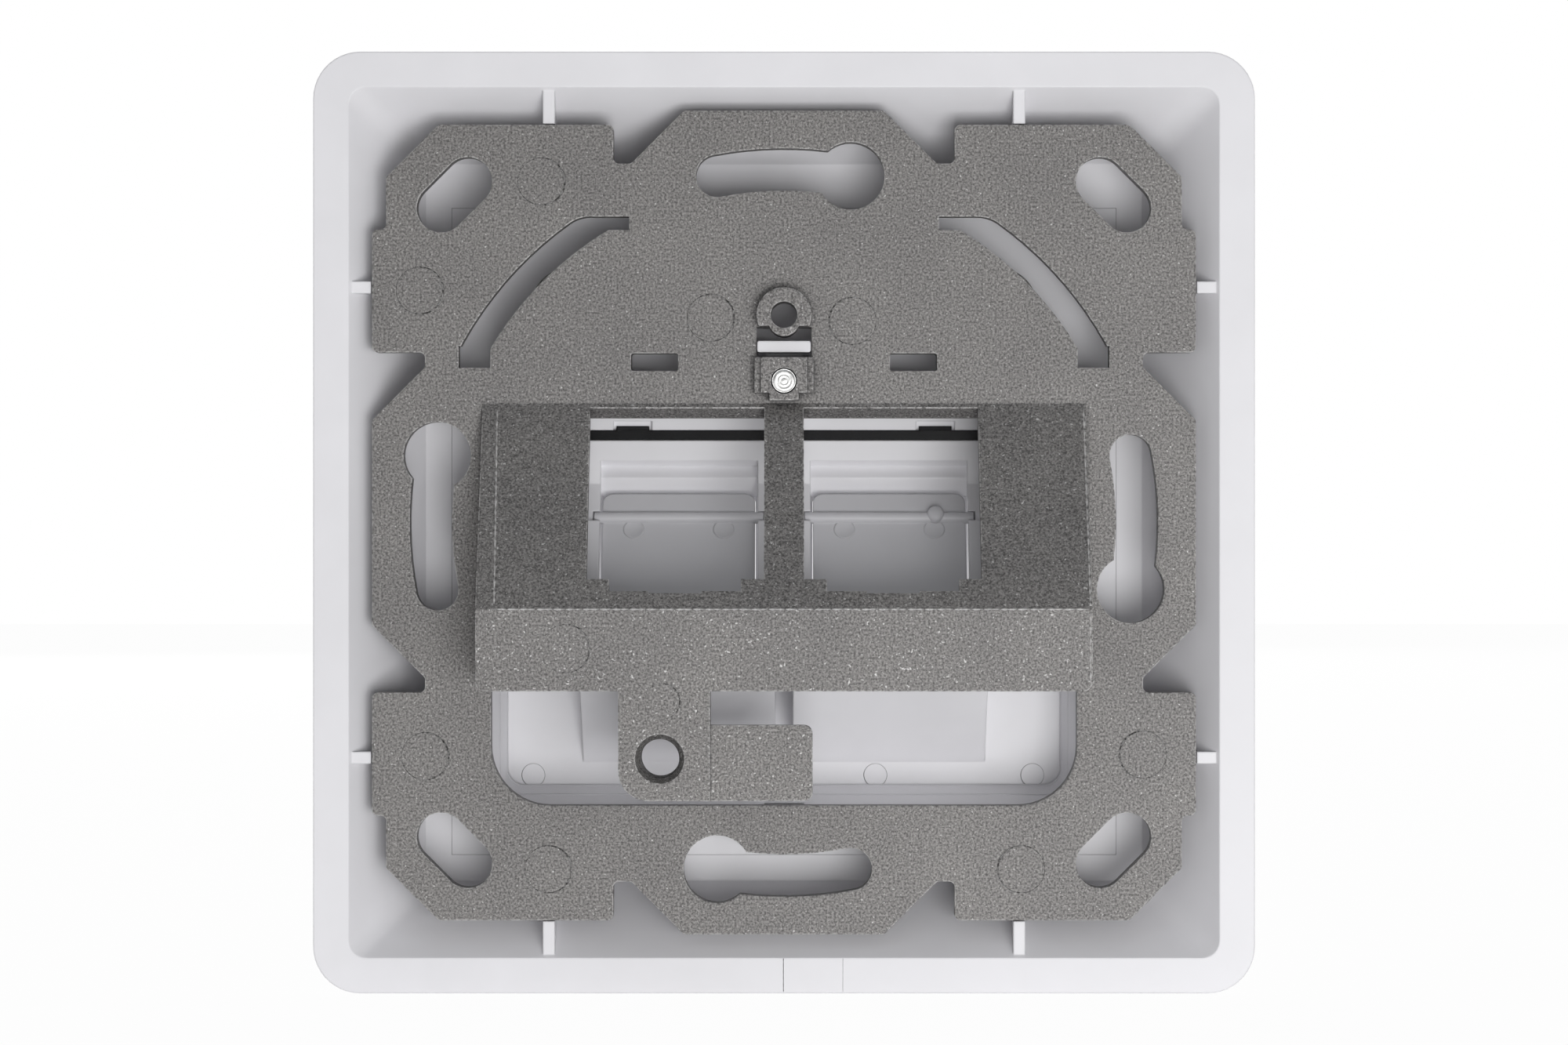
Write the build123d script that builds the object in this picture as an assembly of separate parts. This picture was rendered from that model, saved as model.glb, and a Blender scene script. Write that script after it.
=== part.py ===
"""Two-port angled keystone outlet housing: a die-cast carrier under a one-piece cover.

Millimetres. +Z is up as installed, +Y points into the wall, -Y faces the room.
The origin is the centre of the wall plane, where the carrier and the cover's rim meet the wall.
"""

from build123d import *

import os
from math import cos, radians, sin

os.makedirs("parts", exist_ok=True)

# Overall
cover_size = 80.0
cover_depth = 9.5
cover_corner = 4.0
front_edge_radius = 0.8
cavity_corner = 2.0
port_x = 9.07

# Carrier plate
plate_margin = 5.0
plate_thickness = 2.0
keyhole_radius = 30.0
keyhole_slot_width = 3.6
keyhole_end_radius = 2.87
keyhole_sweep = 10.9
corner_oval_x = 28.0
corner_oval_z = 27.85
corner_oval_radius = 2.07
corner_oval_centres = 3.2
claw_inner_radius = 29.0
claw_width = 2.3
claw_end = 13.15
opening_half_width = 24.9
opening_bottom = -24.05
opening_top = 8.9
opening_corner = 5.0
pad_half_width = 21.55
pad_top = 21.7
pad_height = 1.0
pad_corner = 3.3

# Keystone block
tilt = 30.0
slope_top_z = 10.13
block_depth = 10.0
block_half_width = 25.6
block_bottom = -14.0
block_wall = 1.6
window_width = 14.8
window_inset = 0.47
window_length = 16.65

# Bosses, cover screw and earthing lug
boss_height = 1.5
upper_hole_z = 17.6
upper_hole_radius = 1.125
screw_z = 12.0
screw_radius = 1.0
screw_head_radius = 1.9
screw_head_height = 1.4
screw_seat_depth = 2.2
lug_thickness = 5.0
lug_hole_x = 10.31
lug_hole_z = -19.6
lug_hole_radius = 1.65
faston_width = 6.3
faston_thickness = 0.8

# Cover
rim_width = 3.0
rim_height = 1.2
wall_lean = 7.2
cavity_lean = 9.0
front_wall = 1.8
label_width = 44.0
label_bottom = 7.1
label_top = 21.7
label_depth = 1.0
label_ledge = 0.7
slot_height = 0.9
slot_width = 33.8
tab_x = 13.1
tab_width = 2.65
recess_width = 13.6
mouth_lip = 0.15
cheek_thickness = 1.5
recess_top = 2.3
brow_height = 2.3
ramp_rear_offset = -13.0
ramp_thickness = 1.5
skirt_wall = 1.1
skirt_half_width = 25.05
skirt_bottom = -24.25
skirt_lean = 1.3
skirt_lean_below = 1.75
skirt_corner = 1.5

# Flaps
pivot_y = -6.35
pivot_z = 0.4
flap_width = 13.15
flap_above_pivot = 2.4
flap_below_pivot = 13.5
flap_thickness = 1.1
pin_radius = 0.5
pin_reach = 0.5

# Clearances
pin_clearance = 0.06
sweep_clearance = 0.3
seat_gap = 0.05
fit_gap = 0.1

plate_half = cover_size / 2 - plate_margin
cavity_y = front_wall - cover_depth
label_floor_y = label_depth - cover_depth
pad_front = -plate_thickness - pad_height
screw_seat_y = pad_front - screw_seat_depth
slope_down = (sin(radians(tilt)), -cos(radians(tilt)))
slope_out = (cos(radians(tilt)), sin(radians(tilt)))


def front_slab(sketch, y_rear, y_front):
    """Extrude a front-view sketch (X, Z) between two depths."""
    return extrude(Plane.XZ.offset(-y_rear) * sketch, amount=y_rear - y_front)


def side_slab(points, x_centre, width):
    """Extrude a side-view outline (Y, Z) symmetrically about x_centre."""
    profile = make_face(Polyline(*points, close=True))
    return Pos(x_centre, 0, 0) * extrude(Plane.YZ * profile, amount=width / 2, both=True)


def bore(x, z, radius, y_rear, y_front):
    """A round bar along Y."""
    return front_slab(Pos(x, z) * Circle(radius), y_rear, y_front)


def box_between(x_low, x_high, z_low, z_high):
    """A front-view rectangle given by its edges."""
    centre = Pos((x_low + x_high) / 2, (z_low + z_high) / 2)
    return centre * Rectangle(x_high - x_low, z_high - z_low)


def slope_plane(x, y, z):
    """A plane facing the wall, parallel to the sloped panel, with its second axis down the slope."""
    return Plane(origin=(x, y, z), x_dir=(1, 0, 0), z_dir=(0, *slope_out))


def along_slope(y, z, down, out):
    """The (Y, Z) point that lies down the slope and out of it from (y, z)."""
    return (
        y + down * slope_down[0] + out * slope_out[0],
        z + down * slope_down[1] + out * slope_out[1],
    )


def carrier_outline():
    """The casting's outline, one quarter mirrored to all four."""
    notch = plate_half - 4.5
    block = plate_half - 1.2
    chamfer = plate_half - 5.65
    quarter = [
        (8.5, plate_half),
        (8.5 + plate_half - notch, notch),
        (14.5, notch),
        (14.5, block),
        (chamfer, block),
        (block, chamfer),
        (block, 24.9),
        (plate_half, 24.9),
        (plate_half, 14.45),
        (notch, 14.45),
        (notch, 13.2),
        (plate_half, 13.2 - plate_half + notch),
    ]
    right = quarter + [(x, -z) for x, z in reversed(quarter)]
    outline = right + [(-x, z) for x, z in reversed(right)]
    face = make_face(Polyline(*outline, close=True))
    return fillet(face.vertices(), 0.5)


def keyhole(cardinal):
    """An arc slot with a round entry at its anticlockwise end."""
    start = cardinal - keyhole_sweep
    path = CenterArc((0, 0), keyhole_radius, start, 2 * keyhole_sweep)
    entry = Pos(path @ 1) * Circle(keyhole_end_radius)
    return SlotArc(path, keyhole_slot_width) + entry


def corner_oval(x_side, z_side):
    """An oval hole across the corner's diagonal."""
    turn = Rot(0, 0, -45 * x_side * z_side)
    oval = SlotCenterToCenter(corner_oval_centres, 2 * corner_oval_radius)
    return Pos(x_side * corner_oval_x, z_side * corner_oval_z) * turn * oval


def claw_slot(side):
    """The curved claw slot between the corner and the centre, with straight end pockets."""
    top = claw_inner_radius - 3.0
    outside = claw_inner_radius - 1.35
    sector = Circle(claw_inner_radius + claw_width) & box_between(0, outside, 0, top)
    bends = [v for v in sector.vertices() if v.X > 1 and v.Y > 1]
    sector = fillet(bends, 3.0) & box_between(claw_end, outside, claw_end, top)
    slot = sector - Circle(claw_inner_radius)
    slot += box_between(claw_end, 15.0, top - 1.15, top)
    slot += box_between(outside - 2.7, outside, claw_end, 15.0)
    return mirror(slot, Plane.YZ) if side < 0 else slot


def plate_holes():
    """Everything that is punched through the plate before the pad is added."""
    holes = [keyhole(cardinal) for cardinal in (0, 90, 180, 270)]
    holes += [corner_oval(x, z) for x in (-1, 1) for z in (-1, 1)]
    holes += [claw_slot(side) for side in (-1, 1)]
    opening = box_between(-opening_half_width, opening_half_width, opening_bottom, opening_top)
    holes.append(fillet(opening.vertices().sort_by(Axis.Y)[:2], opening_corner))
    return holes


def keystone_block():
    """The hollow sloped block, open to the room and below."""
    root = -0.8
    slope_bottom_z = slope_top_z + block_depth * slope_down[1] / slope_down[0]
    outline = [
        (root, slope_top_z),
        (0, slope_top_z),
        (block_depth, slope_bottom_z),
        (block_depth, block_bottom),
        (root, block_bottom),
    ]
    block = side_slab(outline, 0, 2 * block_half_width)
    lower = block.edges().filter_by(Axis.Y).group_by(Axis.Z)[0]
    return fillet(lower, 0.8)


def block_hollow():
    """The space inside the block and through the plate in front of it."""
    inner_y = block_depth - block_wall
    top = along_slope(0, slope_top_z, 0, -block_wall)
    start_down = (opening_top - top[1]) / slope_down[1]
    end_down = (inner_y - top[0]) / slope_down[0]
    upper = along_slope(*top, start_down, 0)
    lower = along_slope(*top, end_down, 0)
    front = pad_front - 1
    outline = [(front, opening_top), upper, lower, (inner_y, -15.0), (front, -15.0)]
    return side_slab(outline, 0, 2 * (block_half_width - 1.5))


def keystone_window(x):
    """One snap-in window, stepped at its lower end for the module's latch."""
    steps = ((window_width, window_length), (11.0, 17.8), (4.4, 18.0))
    sketch = Sketch()
    for width, length in steps:
        sketch += Pos(0, window_inset + length / 2) * Rectangle(width, length)
    plane = slope_plane(x, 0, slope_top_z)
    return extrude(plane.offset(0.2) * sketch, amount=-(block_wall + 0.8))


def centre_bosses():
    """The round boss of the upper hole and the stepped block of the cover screw."""
    disc = Pos(0, upper_hole_z) * Circle(2.33)
    head = (disc & box_between(-3, 3, 16.66, 21)) + (Pos(0, 17.13) * Circle(1.33))
    block = box_between(-2.5, 2.5, 11.0, 14.0)
    raised = box_between(-1.95, 1.95, 11.0, 14.0) + box_between(-1.23, 1.23, 10.35, 11.5)
    bosses = front_slab(head, boss_height, pad_front)
    bosses += front_slab(block, boss_height - 0.4, -plate_thickness)
    bosses += front_slab(raised, boss_height, -plate_thickness)
    return bosses


def earthing_lug():
    """The thick lug with its tapped hole and the thin push-on tab beside it."""
    lug_sketch = box_between(6.14, 13.75, -23.1, -13.2)
    corner = lug_sketch.vertices().group_by(Axis.Y)[0].sort_by(Axis.X)[-1]
    lug = front_slab(fillet(corner, 2.5), block_depth, block_depth - lug_thickness)
    tab_sketch = box_between(-2.37, 7.0, -23.1, -23.1 + faston_width)
    free_end = tab_sketch.vertices().group_by(Axis.X)[0]
    tab_face = block_depth - 0.2
    tab = front_slab(fillet(free_end, 0.7), tab_face, tab_face - faston_thickness)
    return lug + tab


def lug_hole():
    """The tapped hole's lead-in cone and its straight length."""
    straight = bore(lug_hole_x, lug_hole_z, lug_hole_radius, block_depth, 4.0)
    mouth = Plane.XZ.offset(-block_depth) * (Pos(lug_hole_x, lug_hole_z) * Circle(2.06))
    return straight + extrude(mouth, amount=0.8, taper=27.0)


def carrier():
    """The die-cast carrier: plate, front pad, keystone block, bosses and earthing lug."""
    plate = front_slab(carrier_outline(), 0, -plate_thickness)
    for hole in plate_holes():
        plate -= front_slab(hole, 1, -plate_thickness - 1)
    pad = box_between(-pad_half_width, pad_half_width, opening_top, pad_top)
    pad = fillet(pad.vertices().group_by(Axis.Y)[-1], pad_corner)
    body = plate + front_slab(pad, -plate_thickness / 2, pad_front)
    body = body + keystone_block() - block_hollow()
    for side in (-1, 1):
        body -= keystone_window(side * port_x)
        slot = Pos(side * 11.0, 13.62) * RectangleRounded(4.0, 1.5, 0.2)
        body -= front_slab(slot, 1, pad_front - 1)
    body -= front_slab(box_between(-2.33, 2.33, 14.0, 16.6), 1, pad_front - 1)
    body += centre_bosses() + earthing_lug()
    body -= bore(0, upper_hole_z, upper_hole_radius, boss_height + 1, pad_front - 1)
    body -= bore(0, screw_z, screw_radius + fit_gap, boss_height + 1, pad_front - 1)
    return body - lug_hole()


def square_taper(y_rear, rear_half, y_front, front_half, corner):
    """A four-sided taper between two depths with its slanted edges rounded."""
    section = [
        (y_rear, -rear_half),
        (y_rear, rear_half),
        (y_front, front_half),
        (y_front, -front_half),
    ]
    wedge = side_slab(section, 0, 2 * rear_half)
    body = wedge & (Rot(0, 90, 0) * wedge)
    return fillet(body.edges().group_by(Axis.Y)[1], corner)


def cover_shell():
    """Rim, sloping walls and front wall, hollow from the rear."""
    half = cover_size / 2
    outer_lean = wall_lean / (cover_depth - rim_height)
    outer_rear = half + outer_lean * rim_height
    walls = square_taper(0, outer_rear, -cover_depth, half - wall_lean, 1.5 * cover_corner)
    walls = fillet(walls.faces().sort_by(Axis.Y)[0].edges(), front_edge_radius)
    outline = RectangleRounded(cover_size, cover_size, cover_corner)
    inner_rear = half - rim_width
    cavity = square_taper(0, inner_rear, cavity_y, half - cavity_lean, cavity_corner)
    return (walls & front_slab(outline, 1, -cover_depth - 1)) - cavity


def centring_rib(reach, turn, offset):
    """One rib that centres the carrier's edge and bears on its front face."""
    wall = cover_size / 2 - rim_width
    edge = reach + fit_gap
    bearing = -plate_thickness - seat_gap
    outline = [
        (-0.3, wall + 0.3),
        (-0.3, edge),
        (bearing, edge),
        (bearing, edge - 1.5),
        (bearing - 3.1, edge - 1.5),
        (-rim_height, wall + 1.5),
    ]
    return Rot(0, turn, 0) * side_slab(outline, offset, 1.0)


def centring_ribs():
    """Two ribs on each of the four sides."""
    block = plate_half - 1.2
    ribs = Part()
    for reach, turn in ((block, 0), (plate_half, 90), (block, 180), (plate_half, 270)):
        for offset in (-20.0, 20.0):
            ribs += centring_rib(reach, turn, offset)
    return ribs


def port_housing(x):
    """The outer form of one port recess: cheeks and ramp behind the front wall."""
    low, high, step = 0.3, 0.9, 0.75
    level = slope_out[0] * pivot_y + slope_out[1] * pivot_z
    upper_z = (level + low - slope_out[0] * cavity_y) / slope_out[1]
    tip_y = (level + high - slope_out[1] * ramp_rear_offset) / (slope_out[0] + slope_out[1])
    root = cavity_y - front_wall / 2
    outline = [
        (root, upper_z),
        (cavity_y, upper_z),
        along_slope(pivot_y, pivot_z, step, low),
        along_slope(pivot_y, pivot_z, step, high),
        (tip_y, tip_y + ramp_rear_offset),
        (cavity_y, cavity_y + ramp_rear_offset),
        (root, root + ramp_rear_offset),
    ]
    return side_slab(outline, x, recess_width + 2 * cheek_thickness)


def port_recess(x):
    """The space of one port: mouth, room for the flap and the flap's sweep past the ramp."""
    ramp_front = ramp_rear_offset + ramp_thickness * 2**0.5
    outside = -cover_depth - 1
    lip = -cover_depth + 0.6
    rear = 3.0
    brow = recess_top + brow_height
    mouth = [
        (outside, recess_top),
        (lip + 0.1, recess_top),
        (lip + 0.1, lip + 0.1 + ramp_front),
        (outside, outside + ramp_front),
    ]
    inside = [
        (lip, recess_top),
        (cavity_y - 1.0, recess_top),
        (cavity_y, brow),
        (rear, brow),
        (rear, rear + ramp_front),
        (lip, lip + ramp_front),
    ]
    behind = [
        along_slope(pivot_y, pivot_z, -5, 0.3),
        along_slope(pivot_y, pivot_z, 18, 0.3),
        along_slope(pivot_y, pivot_z, 18, 4),
        along_slope(pivot_y, pivot_z, -5, 4),
    ]
    sweep_radius = flap_below_pivot + sweep_clearance
    ramp_end = Pos(pivot_y + sweep_radius, pivot_z - sweep_radius)
    ramp_end *= Rectangle(1.5 * sweep_radius, 1.1 * sweep_radius)
    sweep = Plane.YZ * (Pos(pivot_y, pivot_z) * Circle(sweep_radius) & ramp_end)
    cut = side_slab(mouth, x, recess_width - 2 * mouth_lip)
    cut += side_slab(inside, x, recess_width) + side_slab(behind, x, recess_width)
    return cut + Pos(x, 0, 0) * extrude(sweep, amount=recess_width / 2, both=True)


def bearing_notches(x):
    """The snap bearings of one flap, open to the rear and as deep as its pins."""
    radius = pin_radius + pin_clearance
    hole = Plane.YZ * (Pos(pivot_y, pivot_z) * Circle(radius))
    width = recess_width + 2 * (pin_reach + fit_gap)
    return Pos(x, 0, 0) * extrude(hole, amount=width / 2, both=True)


def label_field():
    """The front recess of the label, the flange's slot and the two snap notches."""
    half = label_width / 2
    recess = box_between(-half, half, label_bottom - label_ledge, label_top)
    cut = front_slab(fillet(recess.vertices(), 0.8), label_floor_y, -cover_depth - 1)
    slot_top = label_bottom + slot_height
    slot = box_between(-slot_width / 2, slot_width / 2, label_bottom, slot_top)
    cut += front_slab(slot, cavity_y + 0.5, -cover_depth - 1)
    for x in (-tab_x, tab_x):
        half = tab_width / 2 + fit_gap
        notch = box_between(x - half, x + half, slot_top - 0.2, slot_top + 0.35)
        pocket = box_between(x - half - 0.25, x + half + 0.25, slot_top - 0.2, slot_top + 0.78)
        cut += front_slab(notch, cavity_y + 0.5, -cover_depth - 1)
        cut += front_slab(pocket, cavity_y + 0.5, cavity_y - 0.4)
    return cut


def skirt_outline(y, half, bottom, corner):
    """One outer section of the skirt, running past its top end."""
    sketch = box_between(-half, half, bottom, opening_top + 10)
    return Plane.XZ.offset(-y) * fillet(sketch.vertices().group_by(Axis.Y)[0], corner)


def skirt():
    """The three-sided wall that bears on the carrier around its opening."""
    rear = -plate_thickness - seat_gap
    base = cavity_y - 0.5
    wall = skirt_wall
    outer = loft([
        skirt_outline(rear, skirt_half_width + wall, skirt_bottom - wall, opening_corner + wall),
        skirt_outline(base, skirt_half_width, skirt_bottom, opening_corner),
    ])
    half = skirt_half_width
    across = [(rear, -half), (rear, half), (base, half - skirt_lean), (base, skirt_lean - half)]
    low = skirt_bottom
    upright = [(rear, low), (rear, 20), (base, 20), (base, low + skirt_lean_below)]
    inner = side_slab(upright, 0, cover_size) & (Rot(0, 90, 0) * side_slab(across, 0, cover_size))
    corners = inner.edges().group_by(Axis.Y)[1].sort_by(Axis.Z)[:2]
    inner = fillet(corners, skirt_corner)
    top = front_slab(box_between(-cover_size, cover_size, opening_top - 3, cover_size), 0, base - 1)
    notch = front_slab(box_between(-1.7, 1.7, skirt_bottom - 2, skirt_bottom + 0.2), 0, rear - 1)
    return outer - inner - top - notch


def screw_post():
    """The post that the cover screw clamps, and the locating tab above it."""
    post = bore(0, screw_z, 2.9, pad_front - seat_gap, cavity_y - 0.5)
    tab_sketch = fillet(box_between(-2.27, 2.27, 14.46, 15.42).vertices(), 0.2)
    return post + front_slab(tab_sketch, 0.3, cavity_y - 0.5)


def screw_clearance():
    """The counterbore for the head and the clearance hole for the shank."""
    head = bore(0, screw_z, screw_head_radius + 0.2, screw_seat_y, -cover_depth)
    return head + bore(0, screw_z, screw_radius + 0.15, 0, screw_seat_y - 0.1)


def cover():
    """The one-piece cover."""
    body = cover_shell() + centring_ribs() + skirt() + screw_post()
    for side in (-1, 1):
        body += port_housing(side * port_x)
    for side in (-1, 1):
        body -= port_recess(side * port_x)
        body -= bearing_notches(side * port_x)
    return body - label_field() - screw_clearance()


def flap(x):
    """One dust flap: a flat plate with a half-round pivot ridge that ends in two pins."""
    length = flap_above_pivot + flap_below_pivot
    middle = (flap_below_pivot - flap_above_pivot) / 2
    sketch = Pos(0, middle) * Rectangle(flap_width, length)
    ends = sketch.vertices().group_by(Axis.Y)
    sketch = fillet(ends[0], 0.9)
    sketch = fillet(sketch.vertices().group_by(Axis.Y)[-1], 0.4)
    plate = extrude(slope_plane(x, pivot_y, pivot_z) * sketch, amount=-flap_thickness)
    pin = Plane.YZ * (Pos(pivot_y, pivot_z) * Circle(pin_radius))
    reach = recess_width / 2 + pin_reach
    return plate + Pos(x, 0, 0) * extrude(pin, amount=reach, both=True)


def label_cover():
    """The clear label cover: plate, rearward flange and two snap tabs."""
    half = label_width / 2 - fit_gap
    plate_low = label_bottom - label_ledge + fit_gap
    plate_sketch = box_between(-half, half, plate_low, label_top - fit_gap)
    root = label_floor_y - 0.3
    plate = front_slab(fillet(plate_sketch.vertices(), 0.7), label_floor_y - seat_gap, -cover_depth)
    flange_half = slot_width / 2 - fit_gap
    flange_low = label_bottom + fit_gap
    flange_high = label_bottom + slot_height - fit_gap
    flange = box_between(-flange_half, flange_half, flange_low, flange_high)
    body = plate + front_slab(flange, cavity_y + 0.15, root)
    hook = [
        (root, flange_low),
        (cavity_y + 0.5, flange_low),
        (cavity_y + 0.5, flange_high),
        (cavity_y - 0.1, flange_high + 0.35),
        (root, flange_high + 0.35),
    ]
    for x in (-tab_x, tab_x):
        body += side_slab(hook, x, tab_width)
    return body


def cover_screw():
    """The cover screw, head under the label cover and end in the carrier's block."""
    top = screw_seat_y - screw_head_height
    head = bore(0, screw_z, screw_head_radius, screw_seat_y, top)
    head = fillet(head.edges().group_by(Axis.Y)[0], 0.3)
    shank = bore(0, screw_z, screw_radius, boss_height - 0.1, screw_seat_y - 0.2)
    drive = front_slab(Pos(0, screw_z) * Rectangle(2.9, 0.5), top + 0.7, top - 1)
    return head + shank - drive


nodes = {
    "carrier": carrier(),
    "cover": cover(),
    "label_cover": label_cover(),
    "cover_screw": cover_screw(),
    "flap_left": flap(-port_x),
    "flap_right": flap(port_x),
}
for name, shape in nodes.items():
    export_step(shape, f"parts/{name}.step")
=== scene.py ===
"""Looks of the two-port keystone wall outlet housing, seen from its wall side."""

import logging
import math
from dataclasses import dataclass, field
from enum import Enum
from typing import List, Optional, Sequence, Tuple

import bmesh
import bpy
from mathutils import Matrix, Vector


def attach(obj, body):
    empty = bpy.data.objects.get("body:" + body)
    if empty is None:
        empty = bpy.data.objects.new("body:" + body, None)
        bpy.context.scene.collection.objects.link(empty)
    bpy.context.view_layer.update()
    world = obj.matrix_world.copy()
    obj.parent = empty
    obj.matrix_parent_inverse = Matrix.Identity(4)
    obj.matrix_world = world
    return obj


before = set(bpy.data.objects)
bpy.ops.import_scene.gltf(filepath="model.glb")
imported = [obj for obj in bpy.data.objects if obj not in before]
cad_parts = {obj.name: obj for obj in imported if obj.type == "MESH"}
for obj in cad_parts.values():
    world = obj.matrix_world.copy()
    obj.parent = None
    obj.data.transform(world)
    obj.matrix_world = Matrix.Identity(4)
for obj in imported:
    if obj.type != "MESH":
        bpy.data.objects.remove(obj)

logging.basicConfig(level=logging.INFO, format="%(message)s")
log = logging.getLogger("outlet")

MM = 0.001
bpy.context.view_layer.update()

Colour = Tuple[float, float, float]
Point = Tuple[float, float, float]
Place = Tuple[float, float]
Range = Tuple[float, float]
Socket = bpy.types.NodeSocket
Material = bpy.types.Material

BLACK: Colour = (0.0, 0.0, 0.0)
WHITE: Colour = (1.0, 1.0, 1.0)

# Sockets of a Mix node in its colour mode
MIX_UNDER = 6
MIX_OVER = 7
MIX_RESULT = 2


class Body(Enum):
    """The rigid bodies that pieces ride on."""

    HOUSING = "housing"
    FLAP_LEFT = "flap_left"
    FLAP_RIGHT = "flap_right"


class Slot(Enum):
    """The record's material slots."""

    ZINC = "carrier_zinc"
    WHITE = "cover_white"
    FLAP = "flap_white"
    STEEL = "screw_steel"


class Face(Enum):
    """The faces of the casting that carry marks."""

    PLATE = "plate"
    SLOPE = "slope"
    CREST = "crest"
    BLOCK = "block"


def grey(level: float) -> Colour:
    """Give a neutral colour."""
    return (level, level, level)


@dataclass
class Graph:
    """A material's node tree with short calls for adding and joining nodes."""

    material: Material

    def __post_init__(self) -> None:
        """Switch nodes on and clear the tree."""
        self.material.use_nodes = True
        self.material.node_tree.nodes.clear()

    def add(self, kind: str, **settings: object) -> bpy.types.Node:
        """Add a node and set its properties or named inputs.

        Args:
            kind: The node's type name.
            settings: Properties by name; a key such as in_Scale sets that input.

        Returns:
            The new node.
        """
        node = self.material.node_tree.nodes.new(kind)
        for key, value in settings.items():
            if key.startswith("in_"):
                node.inputs[key[3:].replace("_", " ")].default_value = value
            else:
                setattr(node, key, value)
        return node

    def join(self, source: Socket, target: Socket) -> None:
        """Link two sockets."""
        self.material.node_tree.links.new(source, target)

    def noise(self, scale: float, detail: float, roughness: float = 0.6) -> Socket:
        """Add object-space noise.

        Args:
            scale: Features per metre.
            detail: Octaves.
            roughness: How strong the fine octaves are.

        Returns:
            The factor socket.
        """
        place = self.add("ShaderNodeTexCoord")
        noise = self.add("ShaderNodeTexNoise", in_Scale=scale, in_Detail=detail, in_Roughness=roughness)
        self.join(place.outputs["Object"], noise.inputs["Vector"])
        return noise.outputs["Factor" if "Factor" in noise.outputs else "Fac"]

    def ramp(self, factor: Socket, stops: Range, dark: Colour, light: Colour) -> Socket:
        """Map a factor to a colour between two stops.

        Args:
            factor: The driving factor.
            stops: Where the dark and the light stop stand.
            dark: Colour below the first stop.
            light: Colour above the second stop.

        Returns:
            The colour socket.
        """
        ramp = self.add("ShaderNodeValToRGB")
        for element, position, colour in zip(ramp.color_ramp.elements, stops, (dark, light)):
            element.position = position
            element.color = (*colour, 1.0)
        self.join(factor, ramp.inputs["Fac"])
        return ramp.outputs["Color"]

    def spread(self, factor: Socket, ends: Range) -> Socket:
        """Map a factor from 0..1 to the range between two numbers.

        Args:
            factor: The driving factor.
            ends: The results at 0 and at 1.

        Returns:
            The result socket.
        """
        node = self.add("ShaderNodeMapRange")
        node.inputs["To Min"].default_value, node.inputs["To Max"].default_value = ends
        self.join(factor, node.inputs["Value"])
        return node.outputs["Result"]

    def times(self, first: Socket, second: Socket) -> Socket:
        """Multiply two factors.

        Args:
            first: One factor.
            second: The other factor.

        Returns:
            The product's socket.
        """
        node = self.add("ShaderNodeMath", operation="MULTIPLY")
        self.join(first, node.inputs[0])
        self.join(second, node.inputs[1])
        return node.outputs[0]

    def blend(self, share: Socket, under: Socket, over: Colour) -> Socket:
        """Lay a plain colour over a textured one.

        Args:
            share: How much of the plain colour shows.
            under: The textured colour.
            over: The plain colour.

        Returns:
            The blended colour's socket.
        """
        node = self.add("ShaderNodeMix", data_type="RGBA")
        self.join(share, node.inputs["Factor"])
        self.join(under, node.inputs[MIX_UNDER])
        node.inputs[MIX_OVER].default_value = (*over, 1.0)
        return node.outputs[MIX_RESULT]

    def tint(self, colour: Socket, factor: Socket) -> Socket:
        """Multiply one colour by another.

        Args:
            colour: The colour to shade.
            factor: The colour that shades it.

        Returns:
            The shaded colour's socket.
        """
        node = self.add("ShaderNodeMix", data_type="RGBA", blend_type="MULTIPLY")
        node.inputs["Factor"].default_value = 1.0
        self.join(colour, node.inputs[MIX_UNDER])
        self.join(factor, node.inputs[MIX_OVER])
        return node.outputs[MIX_RESULT]

    def rounded_normal(self, radius: float) -> Socket:
        """Give the normal of the form with its edges rounded by a radius in metres."""
        return self.add("ShaderNodeBevel", samples=6, in_Radius=radius).outputs["Normal"]

    def edge_mask(self, rounded: Socket, full_at: float = 0.8) -> Socket:
        """Find edges from the difference of a rounded and the true normal.

        Args:
            rounded: The rounded normal.
            full_at: The normals' dot product at which the mask is full.

        Returns:
            The mask socket.
        """
        shape = self.add("ShaderNodeNewGeometry")
        dot = self.add("ShaderNodeVectorMath", operation="DOT_PRODUCT")
        self.join(rounded, dot.inputs[0])
        self.join(shape.outputs["Normal"], dot.inputs[1])
        mask = self.add("ShaderNodeMapRange")
        mask.inputs["From Min"].default_value = 1.0
        mask.inputs["From Max"].default_value = full_at
        self.join(dot.outputs["Value"], mask.inputs["Value"])
        return mask.outputs["Result"]

    def bump(self, height: Socket, strength: float, depth: float,
             normal: Optional[Socket] = None) -> Socket:
        """Add a fine relief.

        Args:
            height: The factor that raises the surface.
            strength: How much of the relief shows.
            depth: The relief's height in metres.
            normal: The normal that it starts from, if not the surface's own.

        Returns:
            The normal socket.
        """
        node = self.add("ShaderNodeBump", in_Strength=strength, in_Distance=depth)
        self.join(height, node.inputs["Height"])
        if normal is not None:
            self.join(normal, node.inputs["Normal"])
        return node.outputs["Normal"]

    def surface(self, roughness: Optional[Socket] = None, colour: Optional[Socket] = None,
                normal: Optional[Socket] = None, **settings: object) -> bpy.types.Node:
        """Add the main shader and join what drives it.

        Args:
            roughness: The roughness socket.
            colour: The base colour socket.
            normal: The normal socket.
            settings: Inputs with one value, such as in_Metallic.

        Returns:
            The shader node.
        """
        shader = self.add("ShaderNodeBsdfPrincipled", **settings)
        for source, name in ((colour, "Base Color"), (roughness, "Roughness"), (normal, "Normal")):
            if source is not None:
                self.join(source, shader.inputs[name])
        return shader

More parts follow.
